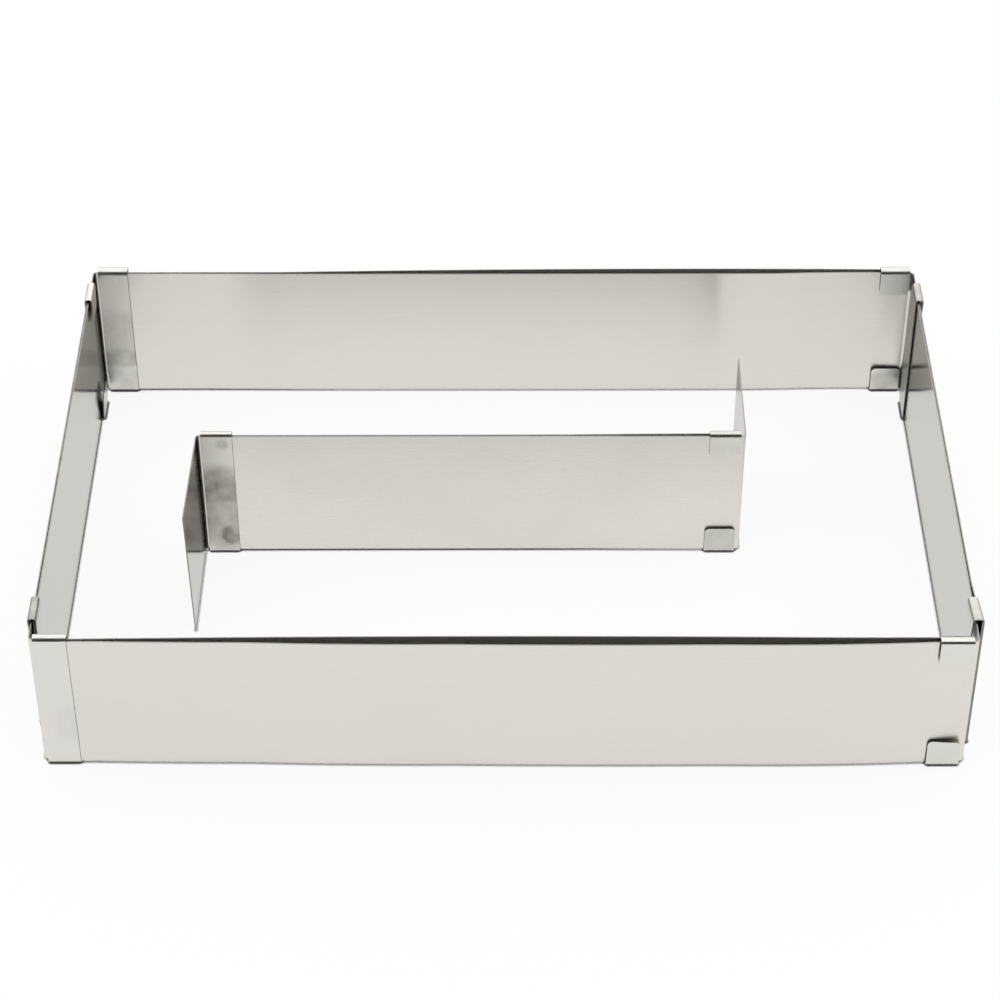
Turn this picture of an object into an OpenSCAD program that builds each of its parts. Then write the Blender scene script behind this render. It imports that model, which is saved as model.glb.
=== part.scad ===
// Adjustable rectangular cake frame with a loose Z-shaped divider.
// Four bent strips form the frame and two more form the divider. A C-clip is welded
// to the free end of every sliding leg and grips the leg of the neighbouring strip.
// The frame stands on z = 0, its length lies along X and its centre is at the origin.

/* [Frame] */
// Outside length of the frame over the strips, as it stands
frame_length = 282; // [200:1:400]
// Outside width of the frame over the strips, as it stands
frame_width = 184; // [110:1:300]
// Height of the frame's strips
strip_height = 50; // [30:1:80]
// Thickness of the strip sheet
strip_t = 0.4; // [0.3:0.05:0.8]
// Inside radius of the corner bends
bend_r = 1; // [0.6:0.1:3]
// How far the short sides stand open beyond their tightest setting
side_open = 6; // [3:0.5:20]

/* [Divider] */
// Length of the divider over its strips, as it stands
divider_length = 176.5; // [90:0.5:240]
// Height of the divider's strips
divider_height = 48; // [30:0.5:60]
// Length of each short leg at the ends of the divider
divider_leg = 40.5; // [15:0.5:70]
// Place of the divider's middle along the frame, from the frame's centre
divider_x = -10.5; // [-25:0.5:25]
// Place of the divider's middle across the frame, from the frame's centre
divider_y = 6; // [-15:0.5:15]

/* [Clips] */
// Width of a clip along the leg that carries it
clip_width = 10; // [6:0.5:20]
// Thickness of the clip sheet
clip_t = 0.4; // [0.3:0.05:0.8]
// Height of a lip, measured from the top of its fold
lip_height = 10; // [5:0.5:13]
// Radius of the rounded corners at a lip's tip
lip_corner = 1.6; // [0.5:0.1:2.8]
// How far a fold bulges out past the tip of its lip
fold_bulge = 0.35; // [0.1:0.05:1]
// Outside radius of the two bends of an upper fold
fold_r = 1.1; // [0.8:0.05:1.3]
// Inside radius of the two bends of a lower fold, which is folded tighter
foot_r = 0.1; // [0.05:0.05:0.4]

/* [Fits] */
// Gap between the two legs that lie along each other
layer_gap = 0.6; // [0.2:0.05:1.2]
// Gap between a lip's tip and the leg that it grips
lip_gap = 0.15; // [0.1:0.05:0.5]
// Gap between a strip's edge and the fold above or below it
edge_gap = 0.1; // [0.05:0.05:0.5]
// Gap between a leg's free end and the start of the bend that it points at
end_gap = 0.2; // [0.1:0.1:3]

/* [Hidden] */
$fn = 64;
half_x = frame_length / 2;
half_y = frame_width / 2;

// Spacing of the two layers of a side, and the depth of both layers together
pitch = strip_t + layer_gap;
stack = pitch + strip_t;

// A fold spans both layers, the gaps beside them and the clip's own sheet twice. Its two
// bends leave at least a narrow flat between them. The frame stands on the lower folds.
lip_inner = stack + lip_gap;
fold_inner = lip_inner + fold_bulge;
clip_depth = fold_inner + 2 * clip_t;
least_flat = 0.1;
fold_bend = min(fold_r, (clip_depth - least_flat) / 2);
foot_bend = min(foot_r + clip_t, (clip_depth - least_flat) / 2);
corner_r = bend_r + strip_t;

// Heights of a clip below and above the strip that it is welded to
foot = foot_bend + edge_gap;
head = fold_bend + edge_gap;

// Distance from the outside of a side to the free end of the leg pointing at it,
// where that leg is the outer layer of its own side or the inner layer
end_outer = corner_r + end_gap;
end_inner = pitch + end_outer;

// All four frame strips are cut alike
long_leg = frame_length - end_inner;
short_leg = frame_width - end_inner - side_open;
divider_run = divider_length - end_outer;

STEEL = "#d2d1cd";
CLIP_STEEL = "#dad8d3";

// Plan of a bent strip: the outer corner is at the origin, one leg runs along +X and
// the other along +Y, and both outer faces lie on the axes.
module strip_plan(leg_x, leg_y) {
    translate([corner_r, 0]) square([leg_x - corner_r, strip_t]);
    translate([0, corner_r]) square([strip_t, leg_y - corner_r]);
    intersection() {
        translate([corner_r, corner_r]) difference() {
            circle(r = corner_r);
            circle(r = bend_r);
        }
        square(corner_r);
    }
}

// A bent strip standing at the height that its clips' lower folds give it.
module bent_strip(leg_x, leg_y, height) {
    translate([0, 0, foot]) linear_extrude(height) strip_plan(leg_x, leg_y);
}

// One bend of a fold in section, around the origin.
module fold_bend_section(bend) {
    intersection() {
        difference() {
            circle(r = bend);
            circle(r = bend - clip_t);
        }
        square(bend);
    }
}

// A fold and its lip in section, as the upper one stands, with the centres of its bends at
// y = 0. The band's face against its strip is at x = 0 and the gripped leg lies towards +X.
// The lip leans in from the bulge of the fold to its tip.
module fold_section(bend) {
    band_bend_x = bend - clip_t;
    lip_bend_x = fold_inner + clip_t - bend;
    lip_end = bend - lip_height;
    translate([band_bend_x, 0]) mirror([1, 0]) fold_bend_section(bend);
    translate([lip_bend_x, 0]) fold_bend_section(bend);
    translate([band_bend_x, bend - clip_t]) square([lip_bend_x - band_bend_x, clip_t]);
    polygon([
        [lip_inner, lip_end],
        [lip_inner + clip_t, lip_end],
        [fold_inner + clip_t, 0],
        [fold_inner, 0]
    ]);
}

// Section of a whole clip: band, two folds and two lips.
module clip_section(height) {
    band_height = height + 2 * edge_gap;
    translate([-clip_t, foot_bend]) square([clip_t, band_height]);
    translate([0, foot_bend]) mirror([0, 1]) fold_section(foot_bend);
    translate([0, foot_bend + band_height]) fold_section(fold_bend);
}

// What is cut off one corner of a lip to round it: the corner is at the origin and the
// lip lies towards +X and +Y.
module lip_corner_cut() {
    difference() {
        square(lip_corner);
        translate([lip_corner, lip_corner]) circle(r = lip_corner);
    }
}

// A clip for strips of the given height. It runs along +X from the leg's free end, its
// band lies on the leg's face at y = 0 and its lips grip the other leg on the +Y side.
module clip(height) {
    lip_tips = [lip_height, foot + height + head - lip_height];
    difference() {
        rotate([90, 0, 90]) linear_extrude(clip_width) clip_section(height);
        for (side = [0, 1], tip = [0, 1]) {
            translate([side * clip_width, stack, lip_tips[tip]]) mirror([side, 0, 0]) mirror([0, 0, 1 - tip])
                rotate([90, 0, 0]) mirror([0, 0, 1]) linear_extrude(clip_depth) lip_corner_cut();
        }
    }
}

module half_turn() { rotate([0, 0, 180]) children(); }

// Corner strip whose long leg is the inner layer of the front and whose short leg is the
// outer layer of the left side, with its two clips.
module inner_front_strip() {
    translate([-half_x, pitch - half_y, 0]) bent_strip(long_leg, short_leg, strip_height);
}

module inner_front_long_clip() {
    translate([half_x - end_inner, stack - half_y, 0]) half_turn() clip(strip_height);
}

module inner_front_short_clip() {
    translate([-half_x, half_y - end_outer - side_open, 0]) rotate([0, 0, -90]) clip(strip_height);
}

// Corner strip whose long leg is the outer layer of the front and whose short leg is the
// inner layer of the right side, with its two clips.
module outer_front_strip() {
    translate([half_x - pitch, -half_y, 0]) mirror([1, 0, 0]) bent_strip(long_leg, short_leg, strip_height);
}

module outer_front_long_clip() {
    translate([end_outer - half_x, -half_y, 0]) clip(strip_height);
}

module outer_front_short_clip() {
    translate([half_x - stack, half_y - end_inner - side_open, 0]) rotate([0, 0, -90]) clip(strip_height);
}

module front_left_strip() { color(STEEL) inner_front_strip(); }
module front_left_long_clip() { color(CLIP_STEEL) inner_front_long_clip(); }
module front_left_short_clip() { color(CLIP_STEEL) inner_front_short_clip(); }

module front_right_strip() { color(STEEL) outer_front_strip(); }
module front_right_long_clip() { color(CLIP_STEEL) outer_front_long_clip(); }
module front_right_short_clip() { color(CLIP_STEEL) outer_front_short_clip(); }

module back_left_strip() { color(STEEL) half_turn() outer_front_strip(); }
module back_left_long_clip() { color(CLIP_STEEL) half_turn() outer_front_long_clip(); }
module back_left_short_clip() { color(CLIP_STEEL) half_turn() outer_front_short_clip(); }

module back_right_strip() { color(STEEL) half_turn() inner_front_strip(); }
module back_right_long_clip() { color(CLIP_STEEL) half_turn() inner_front_long_clip(); }
module back_right_short_clip() { color(CLIP_STEEL) half_turn() inner_front_short_clip(); }

// The divider's strips and clips around its own middle: the front layer has its corner at
// the right and its short leg towards the back, and the back layer is the same turned round.
module divider_front_strip() {
    translate([divider_length / 2, -stack / 2, 0]) mirror([1, 0, 0])
        bent_strip(divider_run, divider_leg, divider_height);
}

module divider_front_clip() {
    translate([end_outer - divider_length / 2, -stack / 2, 0]) clip(divider_height);
}

module at_divider() { translate([divider_x, divider_y, 0]) children(); }

module divider_left_strip() { color(STEEL) at_divider() half_turn() divider_front_strip(); }
module divider_left_clip() { color(CLIP_STEEL) at_divider() half_turn() divider_front_clip(); }
module divider_right_strip() { color(STEEL) at_divider() divider_front_strip(); }
module divider_right_clip() { color(CLIP_STEEL) at_divider() divider_front_clip(); }

front_left_strip();
front_left_long_clip();
front_left_short_clip();
front_right_strip();
front_right_long_clip();
front_right_short_clip();
back_left_strip();
back_left_long_clip();
back_left_short_clip();
back_right_strip();
back_right_long_clip();
back_right_short_clip();
divider_left_strip();
divider_left_clip();
divider_right_strip();
divider_right_clip();
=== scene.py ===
import math

import bmesh
import bpy
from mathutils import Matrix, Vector


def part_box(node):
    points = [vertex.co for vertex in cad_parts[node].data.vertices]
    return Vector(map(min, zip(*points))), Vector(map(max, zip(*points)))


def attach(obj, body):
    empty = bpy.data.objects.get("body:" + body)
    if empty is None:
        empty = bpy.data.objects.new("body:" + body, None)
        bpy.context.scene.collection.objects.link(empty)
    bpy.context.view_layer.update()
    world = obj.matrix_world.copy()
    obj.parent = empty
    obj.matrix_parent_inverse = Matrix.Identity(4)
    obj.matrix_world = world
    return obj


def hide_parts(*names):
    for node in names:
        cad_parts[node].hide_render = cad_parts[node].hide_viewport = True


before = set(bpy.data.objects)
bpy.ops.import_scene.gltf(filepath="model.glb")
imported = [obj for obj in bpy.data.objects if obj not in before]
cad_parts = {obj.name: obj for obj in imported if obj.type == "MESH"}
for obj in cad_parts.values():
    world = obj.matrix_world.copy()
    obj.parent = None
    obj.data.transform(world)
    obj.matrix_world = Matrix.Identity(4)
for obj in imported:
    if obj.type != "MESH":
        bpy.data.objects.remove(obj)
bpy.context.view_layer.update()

# Bent strips of the frame.
# One part used four times: a strip of bright rolled stainless sheet, sheared to length and
# bent to an L in a press brake. The thin sheet springs a little, so paired legs bow apart.
MM = 0.001
SHEET = 0.4 * MM
BEND_INSIDE = 1.0 * MM
BEND_OUTSIDE = BEND_INSIDE + SHEET
BEND_STEPS = 8
EDGE_BREAK = 0.05 * MM
EDGE_STEPS = 2
EDGE_ANGLE = math.radians(50)
SMOOTH_ANGLE = math.radians(18)
NEAR = 0.002 * MM
LEG_NEAR = 3 * MM
QUARTER = math.pi / 2
CUTS_ALONG = 39
CUTS_UP = 7
X = 0
Y = 1
# How each strip's legs spring, in mm: the leg, where along it, how far, and how far along it
# the spring reaches. The frame's long legs bow apart and its short legs lie closer together.
# The divider's long legs lie closer in the middle and part at their right end.
SPRUNG = {
    "front_left": [("long", -12, 0.85, 115), ("short", 60, 0.26, 215)],
    "front_right": [
        ("long", 44, -2.0, 118), ("long", -71, -0.6, 53), ("long", 95, -0.4, 32),
        ("short", 60, 0.26, 215),
    ],
    "back_left": [("long", 55, 1.6, 130), ("short", 60, -0.26, 215)],
    "back_right": [
        ("long", 55, -0.2, 130), ("long", -115, 0.3, 40), ("long", 120, 0.6, 24),
        ("short", 60, -0.26, 215),
    ],
    "divider_left": [("long", -40, -0.25, 130), ("long", 66, 0.3, 45)],
    "divider_right": [("long", -40, 0.25, 130), ("long", 58, -0.15, 30)],
}
OUTER_END_OFF = 1.2
OUTER_END_REACH = 15 * MM


def activate(piece):
    """Selects one piece alone and makes it the active one."""
    bpy.ops.object.select_all(action="DESELECT")
    piece.select_set(True)
    bpy.context.view_layer.objects.active = piece


def pick(piece, kind, belongs):
    """In edit mode, selects only the vertices, edges or faces whose corners belong."""
    bpy.ops.mesh.select_mode(type=kind)
    bpy.ops.mesh.select_all(action="DESELECT")
    mesh = bmesh.from_edit_mesh(piece.data)
    if kind == "VERT":
        for vert in mesh.verts:
            if belongs(vert.co):
                vert.select_set(True)
    else:
        for item in mesh.edges if kind == "EDGE" else mesh.faces:
            if belongs([vert.co for vert in item.verts]):
                item.select_set(True)
    bmesh.update_edit_mesh(piece.data)


def outward_sheet(piece):
    """Merges doubles and turns all faces of a bent, still paper-thin sheet away from its middle."""
    bpy.ops.mesh.select_all(action="SELECT")
    bpy.ops.mesh.remove_doubles(threshold=NEAR / 10)
    bpy.ops.mesh.normals_make_consistent(inside=False)
    mesh = bmesh.from_edit_mesh(piece.data)
    middle = sum((Vector(corner) for corner in piece.bound_box), Vector()) / 8
    if sum((f.calc_center_median() - middle).dot(f.normal) * f.calc_area() for f in mesh.faces) < 0:
        bpy.ops.mesh.flip_normals()
    bpy.ops.object.mode_set(mode="OBJECT")


def bend_strip(name, long_leg, short_leg, height):
    """Bends a strip: outer corner at the origin, long leg along +X, short leg along +Y."""
    straight = long_leg - BEND_OUTSIDE
    bpy.ops.object.select_all(action="DESELECT")
    bpy.ops.mesh.primitive_plane_add(
        size=1,
        location=(BEND_OUTSIDE + straight / 2, 0, height / 2),
        rotation=(QUARTER, 0, 0),
    )
    strip = bpy.context.object
    strip.name = name
    strip.scale = (straight, height, 1)
    bpy.ops.object.transform_apply(location=True, rotation=True, scale=True)
    bpy.ops.object.mode_set(mode="EDIT")
    pick(strip, "EDGE", lambda ends: all(p.x < BEND_OUTSIDE + NEAR for p in ends))
    bpy.ops.mesh.spin(
        steps=BEND_STEPS,
        angle=QUARTER,
        center=(BEND_OUTSIDE, BEND_OUTSIDE, 0),
        axis=(0, 0, 1),
    )
    pick(strip, "EDGE", lambda ends: all(p.x < NEAR for p in ends))
    bpy.ops.mesh.extrude_region_move(
        TRANSFORM_OT_translate={"value": (0, short_leg - BEND_OUTSIDE, 0)}
    )
    pick(strip, "EDGE", lambda ends: (ends[0].xy - ends[1].xy).length > MM)
    bpy.ops.mesh.subdivide(number_cuts=CUTS_ALONG)
    pick(strip, "EDGE", lambda ends: abs(ends[0].z - ends[1].z) > MM)
    bpy.ops.mesh.subdivide(number_cuts=CUTS_UP)
    outward_sheet(strip)
    return strip


def lay_copy(model, name, node, turn, mirrored):
    """Copies a model, mirrors and turns it, and lays it in the space of its CAD node."""
    activate(model)
    bpy.ops.object.duplicate(linked=False)
    piece = bpy.context.object
    piece.name = name
    piece.data.name = name
    piece.scale = (-1 if mirrored else 1, 1, 1)
    bpy.ops.object.transform_apply(location=False, rotation=False, scale=True)
    piece.rotation_euler = (0, 0, math.radians(turn))
    bpy.ops.object.transform_apply(location=False, rotation=True, scale=False)
    low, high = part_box(node)
    spans = [[v.co[i] for v in piece.data.vertices] for i in range(3)]
    piece.location = [
        (low[i] + high[i]) / 2 - (min(spans[i]) + max(spans[i])) / 2 for i in range(3)
    ]
    bpy.ops.object.transform_apply(location=True, rotation=False, scale=False)
    return piece


def spring(piece, belongs, push, reach, falloff):
    """Pushes the sheet out of flat at some vertices, and lets what hangs on them follow."""
    activate(piece)
    bpy.ops.object.mode_set(mode="EDIT")
    pick(piece, "VERT", belongs)
    bpy.ops.transform.translate(
        value=push,
        use_proportional_edit=True,
        use_proportional_connected=True,
        proportional_edit_falloff=falloff,
        proportional_size=reach,
    )
    bpy.ops.object.mode_set(mode="OBJECT")


def one_way(axis, push):
    """A push along one axis, from millimetres."""
    way = [0, 0, 0]
    way[axis] = push * MM
    return way


def spring_legs(strip, body):
    """Springs the legs of a strip that lies in place, as its list says."""
    activate(strip)
    bpy.ops.object.mode_set(mode="EDIT")
    outward_sheet(strip)
    low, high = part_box(body + "_strip")
    long_plane = high.y if "back" in body or body == "divider_left" else low.y
    short_plane = low.x if "left" in body else high.x
    planes = {"long": (Y, long_plane), "short": (X, short_plane)}
    for leg, middle, push, reach in SPRUNG[body]:
        across, plane = planes[leg]
        along = 1 - across
        spring(
            strip,
            lambda p: abs(p[across] - plane) < LEG_NEAR
            and abs(p[along] - middle * MM) < (high[along] - low[along]) / CUTS_ALONG / 2,
            one_way(across, push),
            reach * MM,
            "INVERSE_SQUARE",
        )


def give_thickness(piece, face_steel, edge_steel):
    """Gives the sheet its thickness inwards, breaks its sheared edges and smooths its bends."""
    piece.data.materials.clear()
    piece.data.materials.append(face_steel)
    piece.data.materials.append(edge_steel)
    activate(piece)
    wall = piece.modifiers.new("sheet thickness", "SOLIDIFY")
    wall.thickness = SHEET
    wall.offset = -1
    wall.use_even_offset = True
    wall.material_offset_rim = 1
    bpy.ops.object.modifier_apply(modifier=wall.name)
    edges = piece.modifiers.new("broken edges", "BEVEL")
    edges.width = EDGE_BREAK
    edges.segments = EDGE_STEPS
    edges.limit_method = "ANGLE"
    edges.angle_limit = EDGE_ANGLE
    bpy.ops.object.modifier_apply(modifier=edges.name)
    bpy.ops.object.shade_smooth_by_angle(angle=SMOOTH_ANGLE)


def linear(hex_colour):
    """sRGB hex to the linear colour that nodes take."""
    parts = [int(hex_colour[i:i + 2], 16) / 255 for i in (1, 3, 5)]
    return [p / 12.92 if p <= 0.04045 else ((p + 0.055) / 1.055) ** 2.4 for p in parts] + [1]


def add_node(tree, kind, settings, inputs):
    """Adds a node with its settings, and links or sets its inputs."""
    node = tree.nodes.new(kind)
    for name, value in settings.items():
        setattr(node, name, value)
    for name, value in inputs.items():
        if isinstance(value, bpy.types.NodeSocket):
            tree.links.new(value, node.inputs[name])
        else:
            node.inputs[name].default_value = value
    return node


def rolled_sheet(name, pale, dark, grain, uneven, patch, satin, glancing):
    """Stainless sheet: long rolling or brushing lines, soft patches and a faint ripple.

    Its roughness is given as seen squarely, where the lines smear what it mirrors up and down,
    and at a glancing angle, where satin sheet mirrors clearly.
    """
    material = bpy.data.materials.new(name)
    material.use_nodes = True
    tree = material.node_tree
    tree.nodes.clear()
    place = add_node(tree, "ShaderNodeTexCoord", {}, {}).outputs["Object"]
    lines = add_node(tree, "ShaderNodeMapping", {}, {"Vector": place, "Scale": grain})
    streaks = add_node(
        tree, "ShaderNodeTexNoise", {},
        {"Vector": lines.outputs[0], "Scale": 1, "Detail": 3, "Roughness": 0.65},
    )
    clouds = add_node(
        tree, "ShaderNodeTexNoise", {},
        {"Vector": place, "Scale": 1 / patch, "Detail": 2, "Roughness": 0.5},
    )
    tone = add_node(
        tree, "ShaderNodeMix", {"data_type": "FLOAT"},
        {0: 0.5, 2: streaks.outputs["Fac"], 3: clouds.outputs["Fac"]},
    )
    spread = add_node(
        tree, "ShaderNodeMapRange", {},
        {"Value": tone.outputs[0], "From Min": 0.32, "From Max": 0.68},
    )
    colour = add_node(
        tree, "ShaderNodeMix", {"data_type": "RGBA"},
        {0: spread.outputs[0], 6: linear(dark), 7: linear(pale)},
    )
    angle = add_node(tree, "ShaderNodeLayerWeight", {}, {"Blend": 0.5})
    gloss = add_node(
        tree, "ShaderNodeMapRange", {},
        {"Value": angle.outputs["Facing"], "From Min": 0.35, "From Max": 0.75,
         "To Min": satin, "To Max": glancing},
    )
    rough = add_node(
        tree, "ShaderNodeMapRange", {"clamp": False},
        {"Value": streaks.outputs["Fac"], "From Min": 0.3, "From Max": 0.7,
         "To Min": -uneven, "To Max": uneven},
    )
    rough = add_node(
        tree, "ShaderNodeMath", {"operation": "ADD"}, {0: rough.outputs[0], 1: gloss.outputs[0]}
    )
    ripple = add_node(
        tree, "ShaderNodeBump", {},
        {"Height": clouds.outputs["Fac"], "Strength": 1, "Distance": 0.03 * MM},
    )
    scratch = add_node(
        tree, "ShaderNodeBump", {},
        {"Height": streaks.outputs["Fac"], "Strength": 1, "Distance": 0.001 * MM,
         "Normal": ripple.outputs[0]},
    )
    steel = add_node(
        tree, "ShaderNodeBsdfPrincipled", {},
        {"Base Color": colour.outputs[2], "Metallic": 1, "Roughness": rough.outputs[0],
         "Anisotropic": 0.88, "Anisotropic Rotation": 0.25,
         "Specular Tint": (0.73, 0.73, 0.73, 1), "Normal": scratch.outputs[0]},
    )
    add_node(tree, "ShaderNodeOutputMaterial", {}, {"Surface": steel.outputs[0]})
    return material


# Rolled stainless strip, 2B finish: a satin mirror whose fine lines run along the strip.
# The real lines are under 0.1 mm apart and are drawn 0.4 mm apart so that they show.
strip_steel = rolled_sheet(
    "stainless_strip_2b",
    pale="#e7e4de", dark="#e4e1da",
    grain=(1 / (60 * MM), 1 / (60 * MM), 1 / (0.4 * MM)),
    uneven=0.008, patch=45 * MM, satin=0.28, glancing=0.13,
)

# The sheared edge of the same sheet: rough, torn metal, a little darker than the faces.
sheared_edge = rolled_sheet(
    "stainless_sheared_edge",
    pale="#bab8b2", dark="#9a9892",
    grain=(1 / (0.5 * MM), 1 / (0.5 * MM), 1 / (0.5 * MM)),
    uneven=0.03, patch=4 * MM, satin=0.45, glancing=0.45,
)

low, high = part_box("front_left_strip")
frame_strip = bend_strip("frame_strip_model", high.x - low.x, high.y - low.y, high.z - low.z)
for body, turn, mirrored in (
    ("front_left", 0, False),
    ("front_right", 0, True),
    ("back_left", 180, True),
    ("back_right", 180, False),
):
    strip = lay_copy(frame_strip, "strip_" + body, body + "_strip", turn, mirrored)
    spring_legs(strip, body)
    if body == "back_right":
        # The end of its short leg, under the clip, stands off the leg inside it
        low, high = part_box("back_right_strip")
        spring(
            strip,
            lambda p: p.y < low.y + NEAR,
            one_way(X, OUTER_END_OFF),
            OUTER_END_REACH,
            "LINEAR",
        )
    give_thickness(strip, strip_steel, sheared_edge)
    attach(strip, body)
    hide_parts(body + "_strip")
bpy.data.objects.remove(frame_strip)

# C-clips of the frame.
# Eight clips stamped from strip of the same sheet, with both ends folded over to lips with
# rounded corners. Each is spot-welded by its band to a leg's free end and grips the next strip.
FOLD_RADIUS = 1.1 * MM
FOOT_RADIUS = 0.5 * MM
FOLD_STEPS = 8
LIP_HEIGHT = 10 * MM
LIP_CORNER = 1.6 * MM
LIP_CORNER_STEPS = 6
LIP_LEAN = 0.35 * MM
LIP_REACH = 8 * MM
FOLD_REACH = 3 * MM
CELL = 1.0 * MM
WELD_FROM_END = 6.8 * MM
WELD_FROM_TOP = 3.8 * MM
WELD_FROM_FOOT = 4.2 * MM
WELD_RADIUS = 1.2 * MM
WELD_DEPTH = 0.03 * MM
WELD_HEAT = 2.6 * MM
WELD_CUTS = 4
BLOT_END = 1.3
BLOT_FADE = 0.7
MID_HEIGHT = 25 * MM
# Clips that were bent open in use. Folds drawn deeper by the bowed legs that they slide along:
# the axis, the plane beyond which the sheet moves, how far, in mm, and which lip if only one.
DRAWN_FOLDS = (
    ("front_left_long_clip", Y, -92, -1.5, "upper"),
    ("front_left_long_clip", Y, -92, -1.15, "lower"),
    ("back_left_long_clip", Y, 91.9, 1.05, None),
    ("back_right_long_clip", Y, 92.1, 1.15, None),
    ("front_right_long_clip", Y, -90.6, 0.5, None),
    ("front_right_short_clip", X, 141.1, 0.2, None),
    ("back_right_short_clip", X, 140.9, 0.4, None),
    ("back_right_short_clip", X, 139.5, -0.25, None),
)
# Lower lips lifted off the strip at their tip: the axis, how far, in mm, and the end if only one
LIFTED_LIPS = (
    ("front_left_long_clip", Y, -0.5, max),
    ("back_left_long_clip", Y, -0.45, None),
    ("front_left_short_clip", X, 0.6, None),
    ("back_left_short_clip", X, -0.85, None),
)
# The band on the end of the right side's outer leg, which stands off with it
FLARED_FROM = 141.3 * MM
FLARED_BY = 0.65


def fold_clip(name, width, depth, height):
    """Folds a clip: band at y = 0 facing -Y, free end of the leg at x = 0, lips towards +Y."""
    bpy.ops.object.select_all(action="DESELECT")
    bpy.ops.mesh.primitive_plane_add(
        size=1,
        location=(width / 2, 0, (height - FOLD_RADIUS + FOOT_RADIUS) / 2),
        rotation=(QUARTER, 0, 0),
    )
    clip = bpy.context.object
    clip.name = name
    clip.scale = (width, height - FOLD_RADIUS - FOOT_RADIUS, 1)
    bpy.ops.object.transform_apply(location=True, rotation=True, scale=True)
    bpy.ops.object.mode_set(mode="EDIT")
    for level, up, radius in (
        (height - FOLD_RADIUS, 1, FOLD_RADIUS),
        (FOOT_RADIUS, -1, FOOT_RADIUS),
    ):
        crest = level + up * radius
        tip = crest - up * LIP_HEIGHT
        pick(clip, "EDGE", lambda ends: all(abs(p.z - level) < NEAR for p in ends))
        bpy.ops.mesh.spin(
            steps=FOLD_STEPS, angle=up * QUARTER, center=(0, radius, level), axis=(1, 0, 0)
        )
        pick(clip, "EDGE", lambda ends: all(abs(p.z - crest) < NEAR for p in ends))
        bpy.ops.mesh.extrude_region_move(
            TRANSFORM_OT_translate={"value": (0, depth - 2 * radius, 0)}
        )
        pick(
            clip, "EDGE",
            lambda ends: all(abs(p.z - crest) < NEAR and p.y > depth / 2 for p in ends),
        )
        bpy.ops.mesh.spin(
            steps=FOLD_STEPS,
            angle=up * QUARTER,
            center=(0, depth - radius, level),
            axis=(1, 0, 0),
        )
        pick(
            clip, "EDGE",
            lambda ends: all(abs(p.z - level) < NEAR and p.y > depth / 2 for p in ends),
        )
        bpy.ops.mesh.extrude_region_move(
            TRANSFORM_OT_translate={"value": (0, -LIP_LEAN, tip - level)}
        )
        pick(clip, "VERT", lambda p: abs(p.z - tip) < NEAR)
        bpy.ops.mesh.bevel(offset=LIP_CORNER, segments=LIP_CORNER_STEPS, affect="VERTICES")
    for i in range(1, round(height / CELL)):
        bpy.ops.mesh.select_all(action="SELECT")
        bpy.ops.mesh.bisect(plane_co=(0, 0, i * CELL), plane_no=(0, 0, 1))
    for i in range(1, round(width / CELL)):
        bpy.ops.mesh.select_all(action="SELECT")
        bpy.ops.mesh.bisect(plane_co=(i * CELL, 0, 0), plane_no=(1, 0, 0))
    welds = [
        Vector((WELD_FROM_END, 0, height - WELD_FROM_TOP)),
        Vector((WELD_FROM_END, 0, WELD_FROM_FOOT)),
    ]
    for weld in welds:
        pick(
            clip, "FACE",
            lambda face: all(p.y < NEAR for p in face)
            and min((p - weld).length for p in face) < WELD_RADIUS,
        )
        bpy.ops.mesh.subdivide(number_cuts=WELD_CUTS)
        pick(clip, "VERT", lambda p: p.y < NEAR and (p - weld).length < WELD_RADIUS / 4)
        bpy.ops.transform.translate(
            value=(0, WELD_DEPTH, 0),
            use_proportional_edit=True,
            proportional_edit_falloff="SMOOTH",
            proportional_size=WELD_RADIUS,
        )
    outward_sheet(clip)
    heat = clip.data.attributes.new("weld_heat", "FLOAT", "POINT")
    for vert, spot in zip(clip.data.vertices, heat.data):
        nearest = min((vert.co - weld).length for weld in welds)
        spot.value = max(0, 1 - nearest / WELD_HEAT)
    return clip


def draw_fold(clip, across, plane, push, lip=None):
    """Draws a clip's folds deeper, by moving its band, its lips or one lip as a whole."""
    outward = 1 if push > 0 else -1
    spring(
        clip,
        lambda p: (p[across] - plane * MM) * outward > 0
        and (lip is None or (p.z > MID_HEIGHT) == (lip == "upper")),
        one_way(across, push),
        FOLD_REACH,
        "SMOOTH",
    )


def lift_lip(clip, lip, across, push, end=None):
    """Stands the tip of one lip off its strip, the whole tip or one end of it."""
    levels = [v.co.z for v in clip.data.vertices]
    tip = min(levels) + LIP_HEIGHT if lip == "lower" else max(levels) - LIP_HEIGHT
    face = (max if push > 0 else min)(v.co[across] for v in clip.data.vertices)
    along = 1 - across
    ends = [v.co[along] for v in clip.data.vertices]
    spring(
        clip,
        lambda p: abs(p.z - tip) < LIP_CORNER / 4
        and abs(p[across] - face) < 2 * SHEET
        and (end is None or abs(p[along] - end(ends)) < 2 * LIP_CORNER),
        one_way(across, push),
        LIP_REACH,
        "SMOOTH",
    )


def tarnish_and_crest_shade(clip, stain_and_shade_blots):
    """Stores how much each point is darkened, by stains and by painted shade, from soft blots:
    middle, reach on each axis, share.
    """
    stain_and_shade = clip.data.attributes.new("tarnish_and_crest_shade", "FLOAT", "POINT")
    for vert, spot in zip(clip.data.vertices, stain_and_shade.data):
        for middle, reach, share in stain_and_shade_blots:
            away = Vector([(vert.co[i] / MM - middle[i]) / reach[i] for i in range(3)]).length
            soft = min(1, max(0, (BLOT_END - away) / BLOT_FADE))
            spot.value = max(spot.value, share * soft * soft * (3 - 2 * soft))
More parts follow.
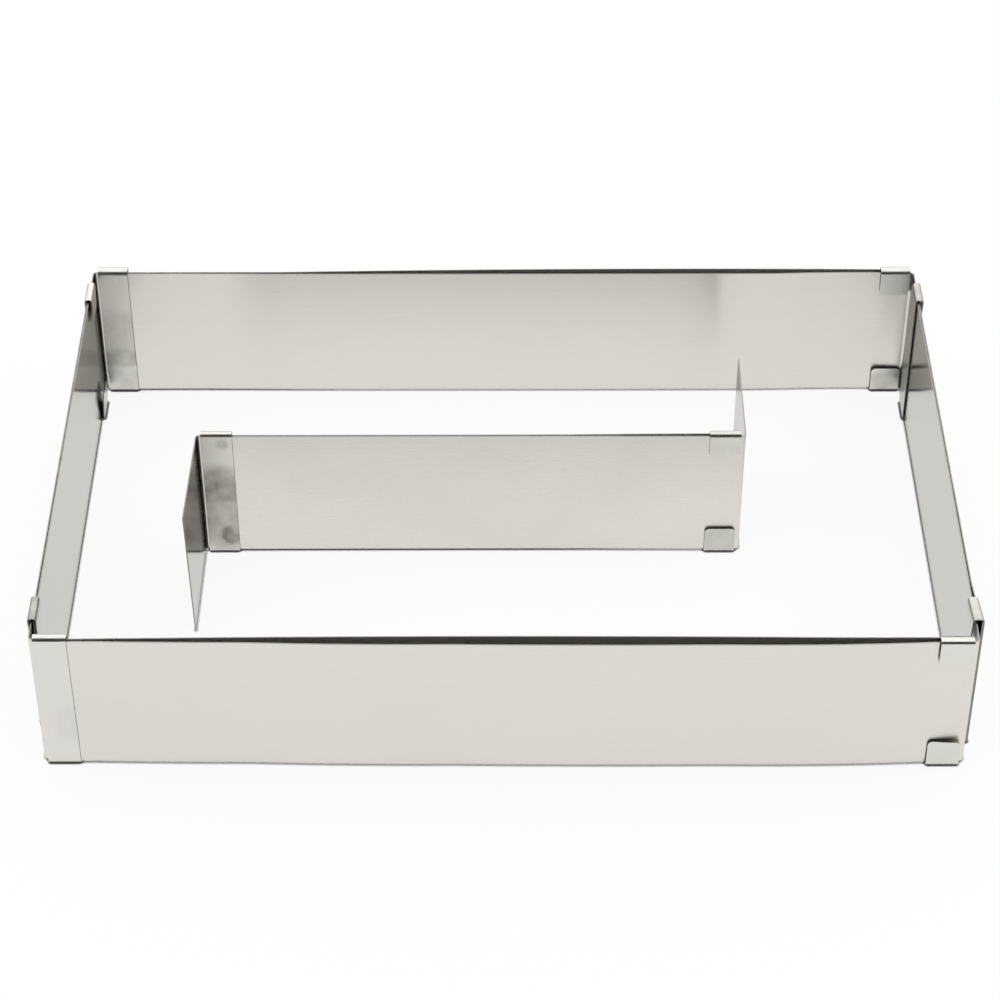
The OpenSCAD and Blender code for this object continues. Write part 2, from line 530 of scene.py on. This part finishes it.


# Brushed stainless clip stock: the tone of the strip, with darker blots of handling and heat,
# painted shade that dims the highlight on the side clips' top folds, and a faint ring round
# each weld. The brushing is drawn 0.5 mm apart so that it shows.
clip_steel = bpy.data.materials.new("stainless_clip_brushed")
clip_steel.use_nodes = True
tree = clip_steel.node_tree
tree.nodes.clear()
place = add_node(tree, "ShaderNodeTexCoord", {}, {}).outputs["Object"]
lines = add_node(
    tree, "ShaderNodeMapping", {},
    {"Vector": place, "Scale": (1 / (0.5 * MM), 1 / (0.5 * MM), 1 / (30 * MM))},
)
streaks = add_node(
    tree, "ShaderNodeTexNoise", {},
    {"Vector": lines.outputs[0], "Scale": 1, "Detail": 3, "Roughness": 0.65},
)
clean = add_node(
    tree, "ShaderNodeMix", {"data_type": "RGBA"},
    {0: streaks.outputs["Fac"], 6: linear("#dbd9d3"), 7: linear("#e2e0da")},
)
clouds = add_node(
    tree, "ShaderNodeTexNoise", {},
    {"Vector": place, "Scale": 1 / (5 * MM), "Detail": 3, "Roughness": 0.55},
)
uneven = add_node(
    tree, "ShaderNodeMapRange", {},
    {"Value": clouds.outputs["Fac"], "From Min": 0.3, "From Max": 0.7,
     "To Min": 0.7, "To Max": 1.3},
)
# Attribute of stains, and of painted shade over the side clips' top-fold highlight
stain_and_shade = add_node(tree, "ShaderNodeAttribute", {"attribute_name": "tarnish_and_crest_shade"}, {})
uneven_stain_and_shade = add_node(
    tree, "ShaderNodeMath", {"operation": "MULTIPLY"},
    {0: stain_and_shade.outputs["Fac"], 1: uneven.outputs[0]},
)
heat = add_node(tree, "ShaderNodeAttribute", {"attribute_name": "weld_heat"}, {})
on_ring = add_node(
    tree, "ShaderNodeMath", {"operation": "COMPARE"}, {0: heat.outputs["Fac"], 1: 0.56, 2: 0.06}
)
on_weld = add_node(
    tree, "ShaderNodeMapRange", {"interpolation_type": "SMOOTHSTEP"},
    {"Value": heat.outputs["Fac"], "From Min": 0.8, "From Max": 0.95},
)
burnt = add_node(
    tree, "ShaderNodeMath", {"operation": "MAXIMUM"},
    {0: on_ring.outputs[0], 1: on_weld.outputs[0]},
)
burnt = add_node(
    tree, "ShaderNodeMath", {"operation": "MULTIPLY"},
    {0: burnt.outputs[0], 1: stain_and_shade.outputs["Fac"]},
)
marks_and_shade = add_node(
    tree, "ShaderNodeMath", {"operation": "MULTIPLY_ADD", "use_clamp": True},
    {0: burnt.outputs[0], 1: 0.6, 2: uneven_stain_and_shade.outputs[0]},
)
colour = add_node(
    tree, "ShaderNodeMix", {"data_type": "RGBA"},
    {0: marks_and_shade.outputs[0], 6: clean.outputs[2], 7: linear("#807e74")},
)
rough = add_node(
    tree, "ShaderNodeMapRange", {},
    {"Value": streaks.outputs["Fac"], "From Min": 0.3, "From Max": 0.7,
     "To Min": 0.27, "To Max": 0.32},
)
scratch = add_node(
    tree, "ShaderNodeBump", {},
    {"Height": streaks.outputs["Fac"], "Strength": 1, "Distance": 0.001 * MM},
)
steel = add_node(
    tree, "ShaderNodeBsdfPrincipled", {},
    {"Base Color": colour.outputs[2], "Metallic": 1, "Roughness": rough.outputs[0],
     "Anisotropic": 0.7, "Specular Tint": (0.8, 0.8, 0.8, 1), "Normal": scratch.outputs[0]},
)
add_node(tree, "ShaderNodeOutputMaterial", {}, {"Surface": steel.outputs[0]})

low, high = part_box("front_right_long_clip")
frame_clip = fold_clip("frame_clip_model", high.x - low.x, high.y - low.y, high.z - low.z)
give_thickness(frame_clip, clip_steel, sheared_edge)
clips = {}
# Blots at z = 52 on the side clips' top folds are painted shade that dims the folds' highlight; the
# others are stains of handling and heat.
for body, node, turn, stain_and_shade_blots in (
    ("front_left", "front_left_long_clip", 180, [((135, -93, 5), (9, 9, 9), 0.06)]),
    ("front_left", "front_left_short_clip", -90, [((-139, 80, 40), (9, 9, 9), 0.2)]),
    ("front_right", "front_right_long_clip", 0, [((-131, -92, 17), (5, 5, 7), 0.08)]),
    ("front_right", "front_right_short_clip", -90,
     [((139, 80, 30), (9, 9, 30), 0.3), ((140, 78, 52), (9, 9, 3), 0.45)]),
    ("back_left", "back_left_long_clip", 180,
     [((134, 90, 46), (8, 9, 5), 0.03), ((136, 90, 4), (7, 9, 6), 0.48)]),
    ("back_left", "back_left_short_clip", 90, [((-140, -79, 52), (9, 9, 3), 0.62)]),
    ("back_right", "back_right_long_clip", 0,
     [((-134, 90, 25), (12, 9, 10.5), 0.26), ((-133, 90, 15), (9, 9, 4.5), 0.5),
      ((-134, 90, 5), (12, 9, 6), 0.26)]),
    ("back_right", "back_right_short_clip", 90, [((141, -79, 52), (9, 9, 3), 0.3)]),
):
    clip = lay_copy(frame_clip, "clip_" + node.replace("_clip", ""), node, turn, False)
    tarnish_and_crest_shade(clip, stain_and_shade_blots)
    clips[node] = clip
    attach(clip, body)
    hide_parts(node)
bpy.data.objects.remove(frame_clip)
for node, across, plane, push, lip in DRAWN_FOLDS:
    draw_fold(clips[node], across, plane, push, lip)
low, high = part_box("back_right_short_clip")
spring(
    clips["back_right_short_clip"],
    lambda p: p.x > FLARED_FROM and p.y < low.y + EDGE_BREAK + NEAR,
    one_way(X, FLARED_BY),
    high.y - low.y,
    "LINEAR",
)
for node, across, push, end in LIFTED_LIPS:
    lift_lip(clips[node], "lower", across, push, end)

# Divider strips.
# Two shorter strips of the same make, bent to an L and laid against each other, so that they
# stand up as a Z. Their sheet is brushed more coarsely than the frame's.
RIGHT_OPEN = 0.35
LEFT_OPEN = -0.4
LEFT_TOP_OPEN = -0.8
OPEN_REACH = 42 * MM
TOP_REACH = 48 * MM
divider_steel = rolled_sheet(
    "stainless_divider_brushed",
    pale="#e7e4de", dark="#dfdcd5",
    grain=(1 / (45 * MM), 1 / (45 * MM), 1 / (0.5 * MM)),
    uneven=0.02, patch=30 * MM, satin=0.28, glancing=0.13,
)
low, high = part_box("divider_left_strip")
divider_strip = bend_strip(
    "divider_strip_model", high.x - low.x, high.y - low.y, high.z - low.z
)
for body, turn in (("divider_left", 180), ("divider_right", 0)):
    strip = lay_copy(divider_strip, "strip_" + body, body + "_strip", turn, True)
    spring_legs(strip, body)
    # The short legs were bent open, the left one further at the top
    low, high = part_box(body + "_strip")
    if body == "divider_right":
        spring(
            strip, lambda p: p.y > high.y - NEAR, one_way(X, RIGHT_OPEN), OPEN_REACH, "LINEAR"
        )
    else:
        spring(
            strip, lambda p: p.y < low.y + NEAR, one_way(X, LEFT_OPEN), OPEN_REACH, "LINEAR"
        )
        spring(
            strip,
            lambda p: p.y < low.y + NEAR and p.z > high.z - NEAR,
            one_way(X, LEFT_TOP_OPEN),
            TOP_REACH,
            "LINEAR",
        )
    give_thickness(strip, divider_steel, sheared_edge)
    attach(strip, body)
    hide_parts(body + "_strip")
bpy.data.objects.remove(divider_strip)

# C-clips of the divider.
# The same clips, a little lower, welded and folded in the same way; heat and handling have
# stained these two more, and the lips of one stand off a little.
BAND_FROM = 6.6
BAND_DRAWN = 0.28
LOWER_LIP_OFF = -0.4
UPPER_LIP_OFF = -0.2
low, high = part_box("divider_right_clip")
divider_clip = fold_clip("divider_clip_model", high.x - low.x, high.y - low.y, high.z - low.z)
give_thickness(divider_clip, clip_steel, sheared_edge)
for body, turn, stain_and_shade_blots in (
    ("divider_left", 180, [((71, 4, 45), (8, 9, 6), 0.2), ((71, 4, 5), (8, 9, 7), 0.3)]),
    ("divider_right", 0,
     [((-90.4, 5, 46), (2.2, 9, 2.2), 0.32), ((-93, 5, 28), (12, 9, 8.5), 0.64),
      ((-92, 5, 12), (12, 9, 12), 0.52), ((-89.6, 5, 7.5), (3.8, 9, 4.8), 0.88)]),
):
    clip = lay_copy(divider_clip, "clip_" + body, body + "_clip", turn, False)
    tarnish_and_crest_shade(clip, stain_and_shade_blots)
    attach(clip, body)
    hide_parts(body + "_clip")
    if body == "divider_left":
        draw_fold(clip, Y, BAND_FROM, BAND_DRAWN)
        lift_lip(clip, "lower", Y, LOWER_LIP_OFF)
        lift_lip(clip, "upper", Y, UPPER_LIP_OFF)
bpy.data.objects.remove(divider_clip)

# Floor, light and camera.
# A white table under softboxes, in a room that is dark behind the camera and low at the back.
# The camera is the photo's, fitted to the corners of the frame, its focal length in pixels.
TABLE_SIZE = 8
CAMERA_AT = (-3.211 * MM, -719.834 * MM, 643.843 * MM)
CAMERA_DOWN = 40.619
CAMERA_TURN = -0.158
FOCAL_PIXELS = 2927.9
PICTURE_PIXELS = 1000
SENSOR_WIDTH = 36


def showing_rays(tree):
    """Rays that see a surface itself: from the camera, off a mirror or through glass."""
    rays = add_node(tree, "ShaderNodeLightPath", {}, {})
    seen = add_node(
        tree, "ShaderNodeMath", {"operation": "MAXIMUM"},
        {0: rays.outputs["Is Camera Ray"], 1: rays.outputs["Is Glossy Ray"]},
    )
    seen = add_node(
        tree, "ShaderNodeMath", {"operation": "MAXIMUM"},
        {0: seen.outputs[0], 1: rays.outputs["Is Transmission Ray"]},
    )
    return rays, seen


bpy.ops.object.select_all(action="DESELECT")
bpy.ops.mesh.primitive_plane_add(size=TABLE_SIZE, location=(0, 0, 0))
floor = bpy.context.object
floor.name = "table_top"
table = bpy.data.materials.new("white_table_top")
table.use_nodes = True
tree = table.node_tree
tree.nodes.clear()
rays, seen = showing_rays(tree)
share = add_node(
    tree, "ShaderNodeMath", {"operation": "MULTIPLY"}, {0: seen.outputs[0], 1: 0.9}
)
# Painted contact shadow: a dark line where sheet meets table, the white kept only where the nearest
# millimetre is open enough
nearby = add_node(tree, "ShaderNodeAmbientOcclusion", {"samples": 8}, {"Distance": 1.1 * MM})
painted_contact_shadow = add_node(
    tree, "ShaderNodeMapRange", {"interpolation_type": "SMOOTHSTEP"},
    {"Value": nearby.outputs["AO"], "From Min": 0.7, "From Max": 0.9, "To Min": 0.03, "To Max": 1},
)
# Seen through two mirrors the table is dimmer, since a studio table is lit past plain white
twice = add_node(
    tree, "ShaderNodeMath", {"operation": "GREATER_THAN"},
    {0: rays.outputs["Ray Depth"], 1: 1.5},
)
dimmer = add_node(
    tree, "ShaderNodeMath", {"operation": "MULTIPLY_ADD"},
    {0: twice.outputs[0], 1: -0.36, 2: 1},
)
level = add_node(
    tree, "ShaderNodeMath", {"operation": "MULTIPLY"},
    {0: painted_contact_shadow.outputs[0], 1: dimmer.outputs[0]},
)
paper = add_node(tree, "ShaderNodeBsdfDiffuse", {}, {"Color": linear("#f4f4f2")})
white = add_node(
    tree, "ShaderNodeEmission", {}, {"Color": (1, 1, 1, 1), "Strength": level.outputs[0]}
)
both = add_node(
    tree, "ShaderNodeMixShader", {},
    {0: share.outputs[0], 1: paper.outputs[0], 2: white.outputs[0]},
)
add_node(tree, "ShaderNodeOutputMaterial", {}, {"Surface": both.outputs[0]})
floor.data.materials.append(table)

world = bpy.data.worlds.new("studio")
bpy.context.scene.world = world
world.use_nodes = True
tree = world.node_tree
tree.nodes.clear()
rays, seen = showing_rays(tree)
way = add_node(tree, "ShaderNodeTexCoord", {}, {})
way = add_node(tree, "ShaderNodeSeparateXYZ", {}, {0: way.outputs["Generated"]})
front_dark = add_node(
    tree, "ShaderNodeMapRange", {"interpolation_type": "SMOOTHSTEP"},
    {"Value": way.outputs["Y"], "From Min": 0.05, "From Max": -0.25, "To Min": 1, "To Max": 0.04},
)
low_dark = add_node(
    tree, "ShaderNodeMapRange", {"interpolation_type": "SMOOTHSTEP"},
    {"Value": way.outputs["Z"], "From Min": 0.05, "From Max": 0.4, "To Min": 0.3, "To Max": 1},
)
room = add_node(
    tree, "ShaderNodeMath", {"operation": "MULTIPLY"},
    {0: front_dark.outputs[0], 1: low_dark.outputs[0]},
)
mirrored = add_node(
    tree, "ShaderNodeMix", {"data_type": "FLOAT"},
    {0: rays.outputs["Is Glossy Ray"], 2: 1, 3: room.outputs[0]},
)
sky = add_node(tree, "ShaderNodeBackground", {}, {"Color": (1, 1, 1, 1), "Strength": 0.7})
shown = add_node(
    tree, "ShaderNodeBackground", {},
    {"Color": (1, 1, 1, 1), "Strength": mirrored.outputs[0]},
)
both = add_node(
    tree, "ShaderNodeMixShader", {},
    {0: seen.outputs[0], 1: sky.outputs[0], 2: shown.outputs[0]},
)
add_node(tree, "ShaderNodeOutputWorld", {}, {"Surface": both.outputs[0]})

for name, place, tilt, size, power in (
    ("softbox_back", (0, 0.9, 1.2), (-37, 0, 0), (3.6, 2.4), 10),
    ("softbox_left", (-1.3, -0.1, 1.0), (0, -52, 0), (1.2, 1.2), 7),
    ("softbox_right", (1.3, -0.1, 1.0), (0, 52, 0), (1.2, 1.2), 7),
):
    bpy.ops.object.select_all(action="DESELECT")
    bpy.ops.object.light_add(
        type="AREA", location=place, rotation=[math.radians(angle) for angle in tilt]
    )
    softbox = bpy.context.object
    softbox.name = name
    softbox.data.shape = "RECTANGLE"
    softbox.data.size, softbox.data.size_y = size
    softbox.data.energy = power
    softbox.visible_glossy = name == "softbox_back"

bpy.ops.object.camera_add(
    location=CAMERA_AT,
    rotation=(math.radians(90 - CAMERA_DOWN), 0, math.radians(CAMERA_TURN)),
)
camera = bpy.context.object
camera.data.sensor_width = SENSOR_WIDTH
camera.data.lens = FOCAL_PIXELS / PICTURE_PIXELS * SENSOR_WIDTH
camera.data.clip_start = 10 * MM
bpy.context.scene.camera = camera
bpy.context.scene.view_settings.view_transform = "Standard"
